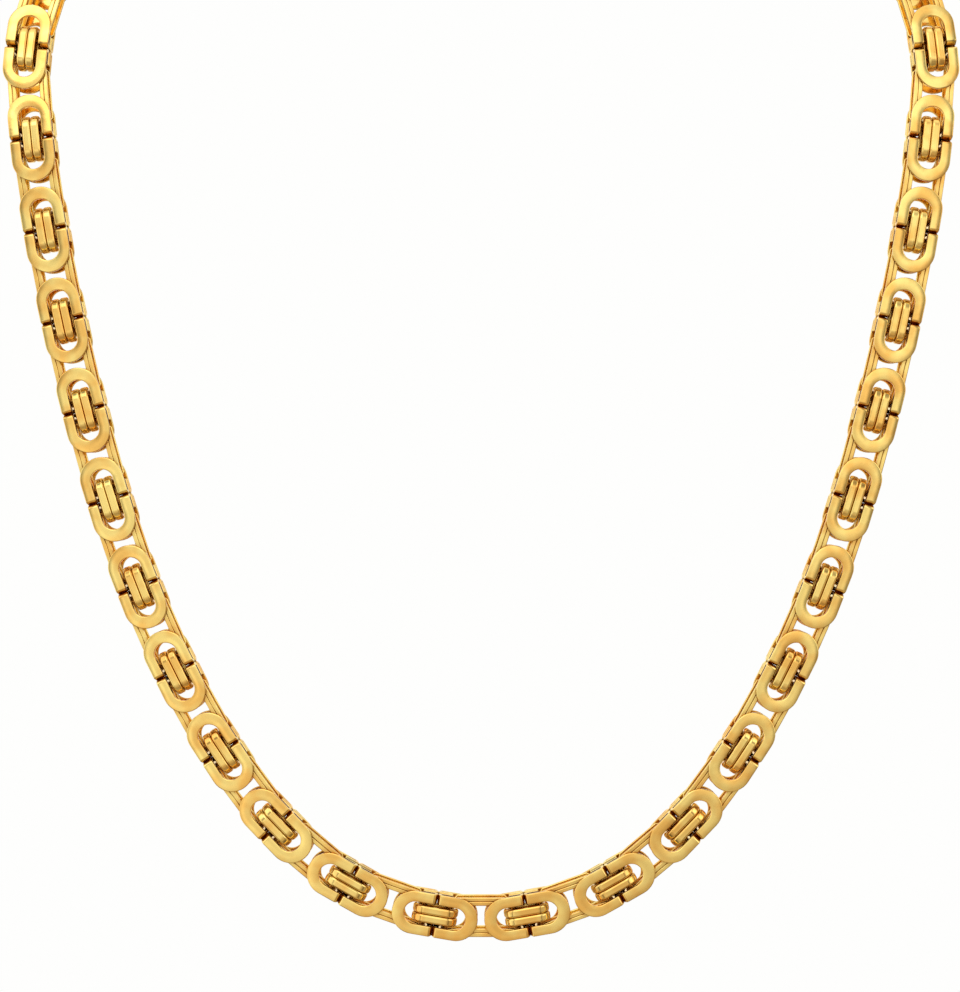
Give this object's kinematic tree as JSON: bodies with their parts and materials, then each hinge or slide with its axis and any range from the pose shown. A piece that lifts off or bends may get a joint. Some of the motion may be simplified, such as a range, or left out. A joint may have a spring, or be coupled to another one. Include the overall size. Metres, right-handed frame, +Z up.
{
  "type": "byzantine chain necklace",
  "caption": "Flat byzantine neck chain in the form it hangs in when worn: interlocked arch, side and twin-bar links in a closed loop with a plain clasp at the nape.",
  "frame": {"origin": "middle of the clasp's lower edge, where the necklace lies on the nape", "axes": "+Z up, -Y to the front, +X to the wearer's left"},
  "size_m": [0.163, 0.0268, 0.1993],
  "materials": {
    "gold_plate": "stainless steel links, gold plated and polished to a mirror",
    "clasp_plate": "stainless steel, gold plated and polished"
  },
  "bodies": {
    "root": {"chain_right": "gold_plate", "chain_left": "gold_plate", "clasp": "clasp_plate", "clasp_rings": "clasp_plate"}
  },
  "joints": []
}
